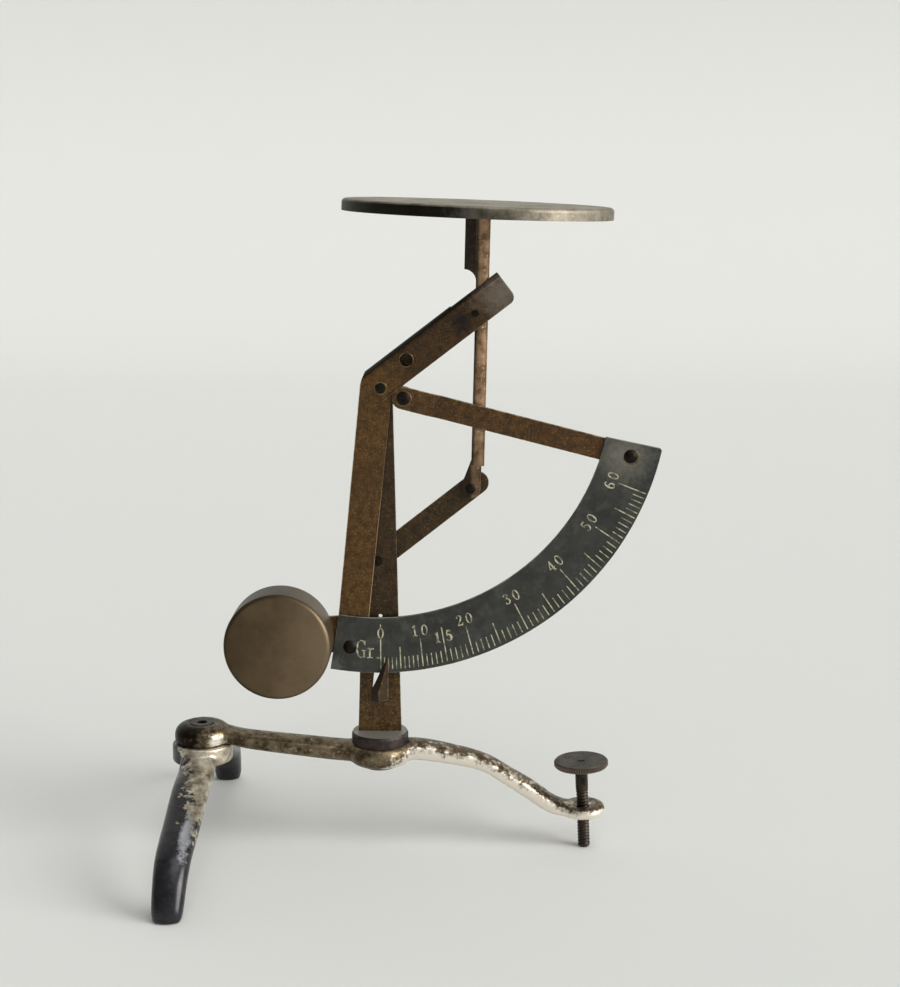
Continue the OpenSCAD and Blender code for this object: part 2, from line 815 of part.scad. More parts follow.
module link_pin() {
    color("#2e2620")
        at(link_pivot) {
            pin_y(pin_r, -post_t / 2, link_front + strip_t + run_gap);
            dome_y(pin_head_r, 0.2, -post_t / 2, -1);
            dome_y(pin_head_r, pin_head_h, link_front + strip_t + run_gap, 1);
        }
}

module link_end_pin() {
    color("#2e2620")
        at(link_end) {
            pin_y(pin_r, flat_front - run_gap, link_front + strip_t);
            dome_y(pin_head_r - 0.1, 0.4, flat_front - run_gap, -1);
            dome_y(pin_head_r, pin_head_h, link_front + strip_t, 1);
        }
}

// Rolled rib: a flat back with a bulging front.
module rib_section() {
    ball = (rib_w * rib_w / 4 + rib_bulge * rib_bulge) / (2 * rib_bulge);
    intersection() {
        translate([rib_x, flat_front + ball - rib_bulge]) circle(r = ball, $fn = 96);
        translate([0, flat_front - rib_bulge - 1]) square([rib_w, rib_bulge + 1]);
    }
    translate([0, flat_front - 0.01]) square([rib_w, strip_t + 0.01]);
}

module stem_flat(top) {
    difference() {
        translate([stem_left, stem_cut_z]) square([rib_x - stem_left + 0.5, top - stem_cut_z]);
        translate([stem_left, stem_cut_z]) circle(r = stem_cut_r);
    }
    circle(r = hidden_ear_r);
    translate([0, -pivot_gap]) circle(r = ear_hold_r);
    polygon([[0, ear_top], [rib_w - 0.7, ear_top], [ear_hold_r - 0.1, -pivot_gap],
        [-ear_hold_r * cos(12), -pivot_gap + ear_hold_r * sin(12)]]);
}

module pan_frame() {
    translate([pan_x, 0, pan_z])
        rotate([0, pan_tilt, 0])
            children();
}

stem_top = (pan_z - stem_pivot[1]) / cos(pivot_lean) - pan_t - strip_t / 2;

module pan_stem() {
    color("#5a4028")
        difference() {
            union() {
                at(stem_pivot)
                    rotate([0, pivot_lean, 0]) {
                        translate([0, 0, rib_foot]) linear_extrude(stem_top - rib_foot) rib_section();
                        upright(flat_front, strip_t) stem_flat(stem_top);
                    }
                pan_frame()
                    translate([0, 0, -pan_t - strip_t]) {
                        translate([-foot_w / 2, flat_front, 0]) cube([foot_w, foot_len - foot_w / 2 - flat_front, strip_t]);
                        translate([0, foot_len - foot_w / 2, 0]) cylinder(r = foot_w / 2, h = strip_t);
                    }
            }
            at(stem_pivot) pin_y(pin_r + pin_clear, -cheek_in, cheek_in);
            at(link_end) pin_y(pin_r + pin_clear, -cheek_in, cheek_in);
            pan_frame()
                translate([0, foot_hole_y, -5]) cylinder(r = rivet_r + fit, h = 5 + cut);
            pan_frame()
                translate([0, 0, -pan_t]) cylinder(r = 2 * foot_w, h = 5);
        }
}

// Through hole or shank of the pan's rivet, widening to the pan's face; grow is its clearance.
module countersink(grow) {
    translate([0, 0, -pan_t - cut]) cylinder(r = rivet_r + grow, h = pan_t + cut + grow);
    translate([0, 0, -sink_h]) cylinder(r1 = rivet_r + grow, r2 = sink_r + grow, h = sink_h + grow);
}

module pan() {
    edge = 1.1;
    brim = [for (a = [0 : 15 : 90]) [pan_r - edge + edge * sin(a), -edge + edge * cos(a)]];
    inner_edge = edge - pan_t;
    inner = [for (a = [90 : -15 : 0]) [pan_r - edge + inner_edge * sin(a), -edge + inner_edge * cos(a)]];
    color("#8d8c86")
        pan_frame()
            difference() {
                rotate_extrude($fn = 180)
                    polygon(concat([[0, 0]], brim, [[pan_r, -pan_rim], [pan_r - pan_t, -pan_rim]], inner,
                        [[0, -pan_t]]));
                translate([0, foot_hole_y, 0]) countersink(fit);
            }
}

module pan_rivet() {
    color("#8d8c86")
        pan_frame()
            translate([0, foot_hole_y, 0]) {
                translate([0, 0, -pan_t - strip_t]) cylinder(r = rivet_r, h = strip_t);
                countersink(0);
                translate([0, 0, -pan_t - strip_t - clench_h]) cylinder(r = rivet_r + clench_h, h = clench_h);
            }
}

base_arm();
cross_legs();
hub_rivet();
levelling_screw();
levelling_knob();
collar();
post();
post_washer();
balance_lever();
fulcrum_pin();
strut();
strut_rivet();
quadrant();
quadrant_rivets();
weight_shell();
weight_slug();
weight_cover();
weight_stud();
lower_link();
link_pin();
link_end_pin();
pan_stem();
stem_pin();
pan();
pan_rivet();
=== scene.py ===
"""Looks of the pendulum letter scale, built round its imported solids."""

import json
import math

import bmesh
import bpy
from mathutils import Matrix, Vector


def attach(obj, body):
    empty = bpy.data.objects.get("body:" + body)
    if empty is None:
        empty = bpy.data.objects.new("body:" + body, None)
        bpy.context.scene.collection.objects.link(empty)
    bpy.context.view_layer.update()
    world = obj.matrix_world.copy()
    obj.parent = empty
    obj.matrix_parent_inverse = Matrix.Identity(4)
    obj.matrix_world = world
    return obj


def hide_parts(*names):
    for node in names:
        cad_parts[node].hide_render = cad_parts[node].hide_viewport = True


MM = 0.001


def linear(hex_colour):
    """An sRGB hex colour as a linear RGBA tuple."""
    parts = [int(hex_colour[i : i + 2], 16) / 255 for i in (1, 3, 5)]
    return tuple(c / 12.92 if c <= 0.04045 else ((c + 0.055) / 1.055) ** 2.4 for c in parts) + (1.0,)


def add(tree, kind, feeds=(), **settings):
    """Adds one shader node; feeds gives each input a value or the output that drives it."""
    made = tree.nodes.new("ShaderNode" + kind)
    for name, value in settings.items():
        setattr(made, name, value)
    for key, value in dict(feeds).items():
        if isinstance(value, bpy.types.NodeSocket):
            tree.links.new(value, made.inputs[key])
        else:
            made.inputs[key].default_value = value
    return made


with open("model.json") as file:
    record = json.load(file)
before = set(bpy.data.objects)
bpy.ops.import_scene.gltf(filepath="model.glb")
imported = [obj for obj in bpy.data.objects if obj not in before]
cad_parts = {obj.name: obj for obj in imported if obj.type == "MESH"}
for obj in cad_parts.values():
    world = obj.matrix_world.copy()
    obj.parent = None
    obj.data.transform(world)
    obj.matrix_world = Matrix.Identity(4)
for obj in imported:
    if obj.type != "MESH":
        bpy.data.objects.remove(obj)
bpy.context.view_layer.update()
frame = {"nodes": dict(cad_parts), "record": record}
NODES = frame["nodes"]
MOTION = frame["record"]["behaviour"]
BODY_OF = {node: body for body, held in MOTION["bodies"].items() for node in held}
PIVOT = {joint["name"]: Vector(joint["pos_m"]) for joint in MOTION["joints"] if "pos_m" in joint}
FULCRUM = PIVOT["lever_swing"]


def middle(node):
    """Middle of a node's box, in mm."""
    return sum((Vector(c) for c in NODES[node].bound_box), Vector()) / 8 / MM


def side_of(node, right):
    """Point of the node farthest to the right, or to the left where right is -1, in mm."""
    best = max(NODES[node].data.vertices, key=lambda v: right * v.co.x)
    return best.co / MM


# Places on the object, in mm
STEM_PIVOT = middle("stem_pin")
RIVET_HEAD_R = 1.9
PLATE_RIVET = side_of("quadrant_rivets", 1) - Vector((RIVET_HEAD_R, 0.0, 0.0))
PLATE_END = side_of("quadrant", -1)
HUB = middle("hub_rivet")
HUB_TOP = HUB + Vector((-2.0, 0.0, 6.0))
ARM_FRONT = -2.05
PLATE_FRONT = -2.95
SCREW_LEAN = Vector(next(joint["axis"] for joint in MOTION["joints"] if joint["name"] == "knob_turn"))


# Studio


def viewpoint():
    """The photograph's own viewpoint: a little above the pan and to the right of the post."""
    sensor = 36
    focal_pixels, picture_height = 1739.15, 987
    down, turned_left = math.radians(8.28), math.radians(1.38)
    data = bpy.data.cameras.new("viewpoint")
    data.sensor_width = sensor
    data.lens = sensor * focal_pixels / picture_height
    data.shift_y = -0.08
    eye = bpy.data.objects.new("viewpoint", data)
    eye.location = (21.52 * MM, -469.07 * MM, 191.09 * MM)
    eye.rotation_euler = (math.radians(90) - down, 0, turned_left)
    bpy.context.collection.objects.link(eye)
    bpy.context.scene.camera = eye


def far_lamp(name, toward, wide, strength, colour="#ffffff"):
    """An even, far light that comes from the direction toward and looks wide degrees across."""
    lamp = bpy.data.lights.new(name, "SUN")
    lamp.angle = math.radians(wide)
    lamp.energy = strength
    lamp.color = linear(colour)[:3]
    holder = bpy.data.objects.new(name, lamp)
    holder.rotation_euler = Vector(toward).to_track_quat("Z", "Y").to_euler()
    bpy.context.collection.objects.link(holder)


def studio():
    """Pale floor that curves up into a pale wall, lit from the right as by a window; the left is dim."""
    scene = bpy.context.scene
    scene.view_settings.view_transform = "Standard"
    world = bpy.data.worlds.new("studio air")
    scene.world = world
    world.use_nodes = True
    air = world.node_tree
    toward = add(air, "SeparateXYZ", {0: add(air, "TexCoord").outputs["Generated"]})
    glow = add(air, "MapRange", {"Value": toward.outputs[0], "From Min": -0.7, "From Max": 0.9,
                                 "To Min": 0.3, "To Max": 0.82})
    air.nodes["Background"].inputs["Color"].default_value = linear("#f0f1ef")
    air.links.new(glow.outputs[0], air.nodes["Background"].inputs["Strength"])
    # how far the paper reaches to each side, where it rises and how wide it bends, in metres
    reach, back, bend = 8.0, 1.5, 0.5
    steps = 16
    profile = [(-reach, 0.0)] + [
        (back - bend + bend * math.sin(a), bend - bend * math.cos(a))
        for a in (i * math.pi / 2 / steps for i in range(steps + 1))
    ] + [(back, reach)]
    mesh = bpy.data.meshes.new("floor")
    verts = [(x, y, z) for y, z in profile for x in (-reach, reach)]
    faces = [(2 * i, 2 * i + 1, 2 * i + 3, 2 * i + 2) for i in range(len(profile) - 1)]
    mesh.from_pydata(verts, [], faces)
    mesh.shade_smooth()
    floor = bpy.data.objects.new("floor", mesh)
    bpy.context.collection.objects.link(floor)
    # background paper: even and matt, so it shows the shadow and no reflection
    paper = bpy.data.materials.new("pale matt paper")
    paper.use_nodes = True
    sheet = paper.node_tree.nodes["Principled BSDF"]
    sheet.inputs["Base Color"].default_value = linear("#d5d6d4")
    sheet.inputs["Roughness"].default_value = 0.9
    mesh.materials.append(paper)
    far_lamp("window", (1.6, -0.65, 0.61), 38.0, 3.05, "#fffdf8")
    far_lamp("ceiling", (0.3, -0.5, 1.41), 36.0, 0.62)


# Finishes


def aged_metal(name, dark, coat, light, bare, metallic, gloss, patch=6.0, grain=0.5, relief=0.02, specks=0.62,
               side_shade=0.0):
    """Old metal: patches of dark and coat, light specks, bare metal where edges are worn.

    patch and grain are the sizes of the patches and of the specks in mm, relief the depth of the
    pitting in mm, gloss the roughness of the smoothest places, specks how far up the noise they
    start, side_shade how much painted shade darkens the narrow sides and the folded top. Real pits
    are about 0.1 mm wide, too fine to show, so grain draws them coarser.
    """
    metal = bpy.data.materials.new(name)
    metal.use_nodes = True
    tree = metal.node_tree
    shader = tree.nodes["Principled BSDF"]
    shader.inputs["Metallic"].default_value = metallic
    place = add(tree, "TexCoord")
    mm = add(tree, "VectorMath", {0: place.outputs["Object"], "Scale": 1000.0}, operation="SCALE").outputs[0]
    clouds = add(tree, "TexNoise", {"Vector": mm, "Scale": 1 / patch, "Detail": 6.0, "Roughness": 0.65})
    grains = add(tree, "TexNoise", {"Vector": mm, "Scale": 1 / grain, "Detail": 3.0, "Roughness": 0.6})
    cover = add(tree, "MapRange", {"Value": clouds.outputs[0], "From Min": 0.38, "From Max": 0.6})
    skin = add(tree, "Mix", {0: cover.outputs[0], 6: linear(dark), 7: linear(coat)}, data_type="RGBA")
    speck = add(tree, "MapRange", {"Value": grains.outputs[0], "From Min": specks, "From Max": specks + 0.12})
    colour = add(tree, "Mix", {0: speck.outputs[0], 6: skin.outputs[2], 7: linear(light)}, data_type="RGBA")
    facing = add(tree, "SeparateXYZ", {0: place.outputs["Normal"]})
    flat = add(tree, "Math", {0: facing.outputs[1]}, operation="ABSOLUTE")
    # painted shade: faces that look neither to the front nor to the back, the narrow sides and the folded
    # top, go dark
    if side_shade:
        side = add(tree, "MapRange", {"Value": flat.outputs[0], "From Min": 0.8, "From Max": 0.96,
                                      "To Min": side_shade, "To Max": 0.0})
        colour = add(tree, "Mix", {0: side.outputs[0], 6: colour.outputs[2], 7: linear("#0d0a07")},
                     data_type="RGBA")
    edge = add(tree, "Attribute", attribute_name="worn")
    wear = add(tree, "Math", {0: edge.outputs["Fac"], 1: clouds.outputs[0]}, operation="ADD")
    # right-facing faces get more bare metal: partly wear, partly a painted highlight on the side the light
    # comes from
    wear_and_highlight = add(tree, "Math", {0: facing.outputs[0], 1: 0.2, 2: wear.outputs[0]}, operation="MULTIPLY_ADD")
    chafed = add(tree, "MapRange", {"Value": wear_and_highlight.outputs[0], "From Min": 0.95, "From Max": 1.2})
    worn = add(tree, "Mix", {0: chafed.outputs[0], 6: colour.outputs[2], 7: linear(bare)}, data_type="RGBA")
    tree.links.new(worn.outputs[2], shader.inputs["Base Color"])
    dull = add(tree, "MapRange", {"Value": grains.outputs[0], "From Min": 0.3, "From Max": 0.7,
                                  "To Min": gloss + 0.2, "To Max": gloss})
    tree.links.new(dull.outputs[0], shader.inputs["Roughness"])
    pits = add(tree, "Bump", {"Height": grains.outputs[0], "Distance": relief * MM, "Strength": 0.8})
    tree.links.new(pits.outputs[0], shader.inputs["Normal"])
    return {"material": metal, "tree": tree, "shader": shader, "mm": mm, "colour": worn.outputs[2],
            "clouds": clouds.outputs[0], "grains": grains.outputs[0], "facing": facing.outputs}


def coat_over(made, mask, colour):
    """Lays another colour over the finish where mask is 1."""
    over = colour if isinstance(colour, bpy.types.NodeSocket) else linear(colour)
    both = add(made["tree"], "Mix", {0: mask, 6: made["colour"], 7: over}, data_type="RGBA")
    made["colour"] = both.outputs[2]
    made["tree"].links.new(made["colour"], made["shader"].inputs["Base Color"])


def bloom(made, centre, radius, colour, soft=0.3, squeeze=(1.0, 1.0, 1.0)):
    """A ragged patch of another colour round a point, both in mm.

    soft widens its border; squeeze below 1 stretches it along an axis.
    """
    tree = made["tree"]
    off = add(tree, "VectorMath", {0: made["mm"], 1: centre}, operation="SUBTRACT")
    squeezed = add(tree, "VectorMath", {0: off.outputs[0], 1: squeeze}, operation="MULTIPLY")
    away = add(tree, "VectorMath", {0: squeezed.outputs[0]}, operation="LENGTH")
    # its border frays in flakes about 1.4 mm wide
    fray = add(tree, "TexNoise", {"Vector": made["mm"], "Scale": 0.7, "Detail": 6.0, "Roughness": 0.7})
    ragged = add(tree, "Math", {0: fray.outputs[0], 1: radius * 2.0, 2: away.outputs["Value"]},
                 operation="MULTIPLY_ADD")
    mask = add(tree, "MapRange", {"Value": ragged.outputs[0], "From Min": radius * (1.8 - soft),
                                  "From Max": radius * (1.8 + soft), "To Min": 1.0, "To Max": 0.0})
    coat_over(made, mask.outputs[0], colour)


def browned_strip(name, dark, coat):
    """Rolled steel strip, browned by age: pitted, speckled, with painted shade along its narrow sides."""
    made = aged_metal(name, dark, coat, "#7c6744", "#b9a582", metallic=0.5, gloss=0.4, patch=1.7,
                      grain=0.5, specks=0.58, side_shade=0.9)
    tree = made["tree"]
    wide = add(tree, "TexNoise", {"Vector": made["mm"], "Scale": 1 / 14, "Detail": 3.0})
    worn_dark = add(tree, "MapRange", {"Value": wide.outputs[0], "From Min": 0.5, "From Max": 0.7,
                                       "To Max": 0.4})
    coat_over(made, worn_dark.outputs[0], dark)
    pits = add(tree, "MapRange", {"Value": made["grains"], "From Min": 0.34, "From Max": 0.45,
                                  "To Min": 0.6, "To Max": 0.0})
    coat_over(made, pits.outputs[0], "#1d1206")
    return made


def browned_lever():
    """The lever's strip: darker along its arm, grey where the arm ends, black in a patch left of and below
    the stem pin.
    """
    made = browned_strip("browned steel lever", "#402a0c", "#5f4119")
    lean = math.radians(37)
    run = Vector((math.cos(lean), 0.0, math.sin(lean)))
    root = FULCRUM.dot(run) / MM
    along = add(made["tree"], "VectorMath", {0: made["mm"], 1: run}, operation="DOT_PRODUCT")
    arm = add(made["tree"], "MapRange", {"Value": along.outputs["Value"], "From Min": root + 4,
                                         "From Max": root + 10, "To Max": 0.5})
    coat_over(made, arm.outputs[0], "#170d04")
    bloom(made, STEM_PIVOT + Vector((7.5, 0.0, 7.0)), 7.5, "#74695d", 0.6)
    bloom(made, STEM_PIVOT - Vector((3.4, 0.0, 2.6)), 4.0, "#0f0804")
    return made["material"]


def shaded_strip(name):
    """Strip behind the lever: painted shade makes it black above, under the lever, and it is brown towards
    the foot.
    """
    made = browned_strip(name, "#39270d", "#58401c")
    spot = add(made["tree"], "SeparateXYZ", {0: made["mm"]})
    # painted shade: the strip darkens upwards, towards the lever above it
    upper = add(made["tree"], "MapRange", {"Value": spot.outputs[2], "From Min": 42.0, "From Max": 66.0,
                                           "To Max": 0.52})
    coat_over(made, upper.outputs[0], "#140c04")
    return made["material"]


def browned_stem():
    """The same strip, painted lighter and golden where its rib is lit; the flange beside it is black, partly
    oxide and partly painted shade.
    """
    # painted light: a lighter, golden copy of the brown strip, for the lit rib
    made = aged_metal("rubbed brown steel", "#6b503a", "#a98868", "#d6bf9f", "#d6bd90",
                      metallic=0.65, gloss=0.32, patch=3.0, grain=0.8, specks=0.6, side_shade=0.6)
    tree = made["tree"]
    spot = add(tree, "SeparateXYZ", {0: made["mm"]})
    lean = (PIVOT["lever_swing"] - PIVOT["link_swing"]) / MM
    across = add(tree, "Math", {0: spot.outputs[2], 1: -lean.x / lean.z, 2: spot.outputs[0]},
                 operation="MULTIPLY_ADD")
    rib_edge = STEM_PIVOT.x - STEM_PIVOT.z * lean.x / lean.z
    # the flange left of the rib is black: partly oxide, partly painted shade
    flange = add(tree, "MapRange", {"Value": across.outputs[0], "From Min": rib_edge - 0.3,
                                    "From Max": rib_edge + 0.6, "To Min": 0.93, "To Max": 0.0})
    coat_over(made, flange.outputs[0], "#0c0704")
    foot = add(tree, "MapRange", {"Value": spot.outputs[2], "From Min": 104.0, "From Max": 124.0,
                                  "To Min": 0.62, "To Max": 0.0})
    coat_over(made, foot.outputs[0], "#22140a")
    return made["material"]


def blackened_plate():
    """Chemically blackened steel plate, rubbed grey round its right rivet and at its left end."""
    made = aged_metal("blackened steel plate", "#272825", "#363833", "#484944", "#a5a496",
                      metallic=0.35, gloss=0.4, patch=9.0, grain=0.35, relief=0.008, specks=0.66)
    smudges = add(made["tree"], "TexNoise", {"Vector": made["mm"], "Scale": 1 / 4, "Detail": 5.0,
                                             "Roughness": 0.65})
    smudged = add(made["tree"], "MapRange", {"Value": smudges.outputs[0], "From Min": 0.52, "From Max": 0.72,
                                             "To Max": 0.55})
    coat_over(made, smudged.outputs[0], "#54544d")
    bloom(made, PLATE_RIVET + Vector((-1.5, 0.0, 0.0)), 5.5, "#716e64", 0.8)
    bloom(made, PLATE_END, 4.0, "#50524e")
    return made["material"]


def engraving_wax():
    """Cream wax rubbed into the engraved lines, darker where it has fallen out."""
    wax = bpy.data.materials.new("cream engraving wax")
    wax.use_nodes = True
    tree = wax.node_tree
    shader = tree.nodes["Principled BSDF"]
    shader.inputs["Roughness"].default_value = 0.7
    place = add(tree, "TexCoord").outputs["Object"]
    mm = add(tree, "VectorMath", {0: place, "Scale": 1000.0}, operation="SCALE").outputs[0]
    gaps = add(tree, "TexNoise", {"Vector": mm, "Scale": 1 / 1.25, "Detail": 4.0})
    lost = add(tree, "MapRange", {"Value": gaps.outputs[0], "From Min": 0.4, "From Max": 0.58})
    shade = add(tree, "Mix", {0: lost.outputs[0], 6: linear("#6a6755"), 7: linear("#b9b49a")},
                data_type="RGBA")
    tree.links.new(shade.outputs[2], shader.inputs["Base Color"])
    return wax


def worn_nickel():
    """Nickel plate on cast iron: brown, with dust and painted shade on its upper faces and painted shade over
    the hub; bright below the boss and eye and to the right, partly wear and partly painted light; a painted
    glint on the hub.
    """
    made = aged_metal("worn nickel on cast iron", "#413524", "#7f715b", "#9e917b", "#b3a68d",
                      metallic=0.9, gloss=0.3, patch=3.0, grain=0.9, relief=0.04, specks=0.6)
    tree = made["tree"]
    spot = add(tree, "SeparateXYZ", {0: made["mm"]})
    # upward faces darker, downward faces brighter: partly dust lying on top, partly painted shade above and
    # painted light below
    above = add(tree, "Math", {0: made["facing"][2], 1: -0.3, 2: made["clouds"]}, operation="MULTIPLY_ADD")
    speckled = add(tree, "Math", {0: made["grains"], 1: 0.5, 2: above.outputs[0]}, operation="MULTIPLY_ADD")
    # painted light: the nickel brightens to the right, past the boss, towards the side the light comes from
    along = add(tree, "MapRange", {"Value": spot.outputs[0], "From Min": HUB.x + 47, "From Max": HUB.x + 60,
                                   "To Min": -0.4, "To Max": 0.22})
    bright = add(tree, "Math", {0: speckled.outputs[0], 1: along.outputs[0]}, operation="ADD")
    mask = add(tree, "MapRange", {"Value": bright.outputs[0], "From Min": 0.72, "From Max": 0.95})
    coat_over(made, mask.outputs[0], "#f0e7da")
    # painted shade over the hub's top and left
    bloom(made, HUB_TOP + Vector((-2.5, -4.0, -3.0)), 9.0, "#1b130b")
    # painted highlight: a small glint on the hub's lower right front
    bloom(made, HUB_TOP + Vector((7.2, -6.4, -4.8)), 2.6, "#f0e9dc", 0.5)
    return made["material"]


def flaking_legs():
    """Cast iron legs: nickel near the hub flakes off to smooth blue-black iron towards the feet."""
    made = aged_metal("flaking nickel on cast iron", "#665944", "#c8bfac", "#ded6c6", "#d0c8b8",
                      metallic=0.85, gloss=0.3, patch=4.0, grain=0.8, relief=0.04, specks=0.62)
    made["shader"].inputs["Coat Weight"].default_value = 0.5
    made["shader"].inputs["Coat Roughness"].default_value = 0.22
    tree = made["tree"]
    spot = add(tree, "SeparateXYZ", {0: made["mm"]})
    # the plating comes off in flakes about 3 mm wide
    ragged = add(tree, "TexNoise", {"Vector": made["mm"], "Scale": 1 / 3.125, "Detail": 7.0,
                                    "Roughness": 0.75})
    swing = add(tree, "MapRange", {"Value": ragged.outputs[0], "From Min": 0.3, "From Max": 0.7,
                                   "To Min": -6.0, "To Max": 6.0})
    height = add(tree, "Math", {0: spot.outputs[2], 1: swing.outputs[0]}, operation="ADD")
    # the nickel reaches farther down the right side of the front leg
    steep = 1.3
    slant = add(tree, "Math", {0: spot.outputs[0], 1: steep, 2: height.outputs[0]}, operation="MULTIPLY_ADD")
    # the rear leg is given black iron all over: partly lost nickel, partly painted shade where it stands
    # behind
    rear = add(tree, "MapRange", {"Value": spot.outputs[1], "From Min": 2.0, "From Max": 9.0,
                                  "To Min": 0.0, "To Max": 25.0})
    level = add(tree, "Math", {0: slant.outputs[0], 1: rear.outputs[0]}, operation="SUBTRACT")
    start = 22.7 + steep * HUB.x
    lost = add(tree, "MapRange", {"Value": level.outputs[0], "From Min": start, "From Max": start + 0.9,
                                  "To Min": 1.0, "To Max": 0.0})
    iron = add(tree, "MapRange", {"Value": made["clouds"], "From Min": 0.35, "From Max": 0.65})
    bare = add(tree, "Mix", {0: iron.outputs[0], 6: linear("#070609"), 7: linear("#2c2a30")},
               data_type="RGBA")
    coat_over(made, lost.outputs[0], bare.outputs[2])
    # painted highlight: a narrow bright strip down the front of the front knee
    knee = PIVOT["leg_swivel"] / MM + Vector((1.9, -39.5, -11.6))
    bloom(made, knee, 2.2, "#b2b4ba", 0.35, (1.45, 0.25, 0.27))
    return made["material"]


def dusty_collar():
    """Turned steel gone purplish brown, with dust lying on its top face."""
    made = aged_metal("dusty browned steel", "#1c1513", "#3b302c", "#544944", "#6c625c",
                      metallic=0.5, gloss=0.42, patch=2.5, grain=0.6)
    dust = add(made["tree"], "MapRange", {"Value": made["facing"][2], "From Min": 0.7, "From Max": 0.97,
                                          "To Max": 0.85})
    coat_over(made, dust.outputs[0], "#8f8d84")
    return made["material"]


def dark_steel(name):
    """Steel gone nearly black, a little brown in its hollows."""
    return aged_metal(name, "#1d1813", "#443c32", "#6d645a", "#8c8478", metallic=0.8, gloss=0.32,
                      patch=3.0, grain=0.4)


def knurled_steel():
    """The knob: dark steel whose milled side is rubbed browner and lighter than its dull top."""
    made = dark_steel("knurled brown steel")
    lying = add(made["tree"], "Math", {0: made["facing"][2]}, operation="ABSOLUTE")
    side = add(made["tree"], "MapRange", {"Value": lying.outputs[0], "From Min": 0.2, "From Max": 0.7,
                                          "To Min": 0.8, "To Max": 0.0})
    coat_over(made, side.outputs[0], "#6f6258")
    return made["material"]


def pin_steel():
    """Pins and small rivets: black, with a dull glint."""
    return aged_metal("blackened pin steel", "#0d0a07", "#211b15", "#3d352d", "#6d645a",
                      metallic=0.8, gloss=0.34, patch=2.0, grain=0.4)["material"]


def drum_metal():
    """Satin turned drum: nickel gone brown-grey, fine and even, with painted shade round its side and on its
    left and painted light on its right.
    """
    made = aged_metal("tarnished satin nickel", "#574835", "#6a5943", "#7b6b55", "#a9a292",
                      metallic=0.85, gloss=0.34, patch=16.0, grain=0.3, relief=0.005, specks=0.64, side_shade=0.58)
    spot = add(made["tree"], "SeparateXYZ", {0: made["mm"]})
    centre = middle("weight_shell").x
    # painted shade darkens the drum's left and painted light brightens its right
    for reach, colour, most in ((-15.0, "#30230f", 0.62), (15.0, "#8a7a62", 0.5)):
        deep = add(made["tree"], "MapRange", {"Value": spot.outputs[0], "From Min": centre,
                                              "From Max": centre + reach, "To Max": most})
        coat_over(made, deep.outputs[0], colour)
    return made["material"]


def pan_metal():
    """Spun tinned sheet, grey-beige and freckled; painted shade blackens the left half of its rim."""
    made = aged_metal("tarnished tinned sheet", "#736c5d", "#9c9486", "#bab09c", "#d3c9b4",
                      metallic=0.9, gloss=0.42, patch=8.0, grain=0.5, relief=0.01)
    tree = made["tree"]
    spot = add(tree, "SeparateXYZ", {0: made["mm"]})
    # painted shade: the left half of the rim, away from the light, is darkened to black
    top = add(tree, "Math", {0: made["facing"][2]}, operation="ABSOLUTE")
    rim = add(tree, "MapRange", {"Value": top.outputs[0], "From Min": 0.4, "From Max": 0.9,
                                 "To Min": 1.0, "To Max": 0.0})
    ragged = add(tree, "Math", {0: made["clouds"], 1: 22.0, 2: spot.outputs[0]}, operation="MULTIPLY_ADD")
    centre = middle("pan").x
    left = add(tree, "MapRange", {"Value": ragged.outputs[0], "From Min": centre + 4, "From Max": centre + 36,
                                  "To Min": 0.97, "To Max": 0.0})
    mask = add(tree, "Math", {0: rim.outputs[0], 1: left.outputs[0]}, operation="MULTIPLY")
    coat_over(made, mask.outputs[0], "#0d0904")
    return made["material"]


# Pieces


def piece(name, mesh, material, body, smooth_below=35.0):
    """Shows a mesh as a piece that rides on a body."""
    mesh.materials.clear()
    mesh.materials.append(material)
    mesh.shade_smooth()
    mesh.set_sharp_from_angle(angle=math.radians(smooth_below))
    shown = bpy.data.objects.new(name, mesh)
    bpy.context.collection.objects.link(shown)
    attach(shown, body)
    return shown


def pressed(node, name, material, edge, rubbed_off=0.58, least=0.0):
    """A sheet piece with its cut edges rounded by edge mm; rubbed_off says how far they are worn.

    Edges shorter than least mm stay crisp: the lever's folds are too tight to be rounded.
    """
    form = bmesh.new()
    form.from_mesh(NODES[node].data)
    bmesh.ops.remove_doubles(form, verts=form.verts, dist=0.03 * MM)
    bmesh.ops.dissolve_limit(form, angle_limit=math.radians(0.5), verts=form.verts, edges=form.edges)
    corner = math.radians(40)
    crisp = [e for e in form.edges if e.calc_length() > least * MM and e.calc_face_angle(0.0) > corner]
    rubbed = form.faces.layers.float.new("worn")
    made = bmesh.ops.bevel(form, geom=crisp, offset=edge * MM, segments=2, profile=0.5, affect="EDGES",
                           clamp_overlap=False)
    for face in made["faces"]:
        face[rubbed] = rubbed_off
    mesh = bpy.data.meshes.new(name)
    form.to_mesh(mesh)
    form.free()
    shown = piece(name, mesh, material, BODY_OF[node], 50.0)
    even = shown.modifiers.new("even shading", "WEIGHTED_NORMAL")
    even.keep_sharp = True
    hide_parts(node)
    return shown


def cast(node, name, material, voxel, passes):
    """A casting: the solid's own form with the blended corners and soft skin of sand casting.

    It is rebuilt from cells of voxel mm, and passes says how often its skin is smoothed.
    """
    mould = bpy.data.objects.new(name + " mould", NODES[node].data.copy())
    bpy.context.collection.objects.link(mould)
    grid = mould.modifiers.new("grid", "REMESH")
    grid.mode = "VOXEL"
    grid.voxel_size = voxel * MM
    soft = mould.modifiers.new("soft", "SMOOTH")
    soft.factor = 0.5
    soft.iterations = passes
    ready = mould.evaluated_get(bpy.context.evaluated_depsgraph_get())
    mesh = bpy.data.meshes.new_from_object(ready)
    bpy.data.objects.remove(mould)
    shown = piece(name, mesh, material, BODY_OF[node], 180.0)
    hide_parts(node)
    return shown


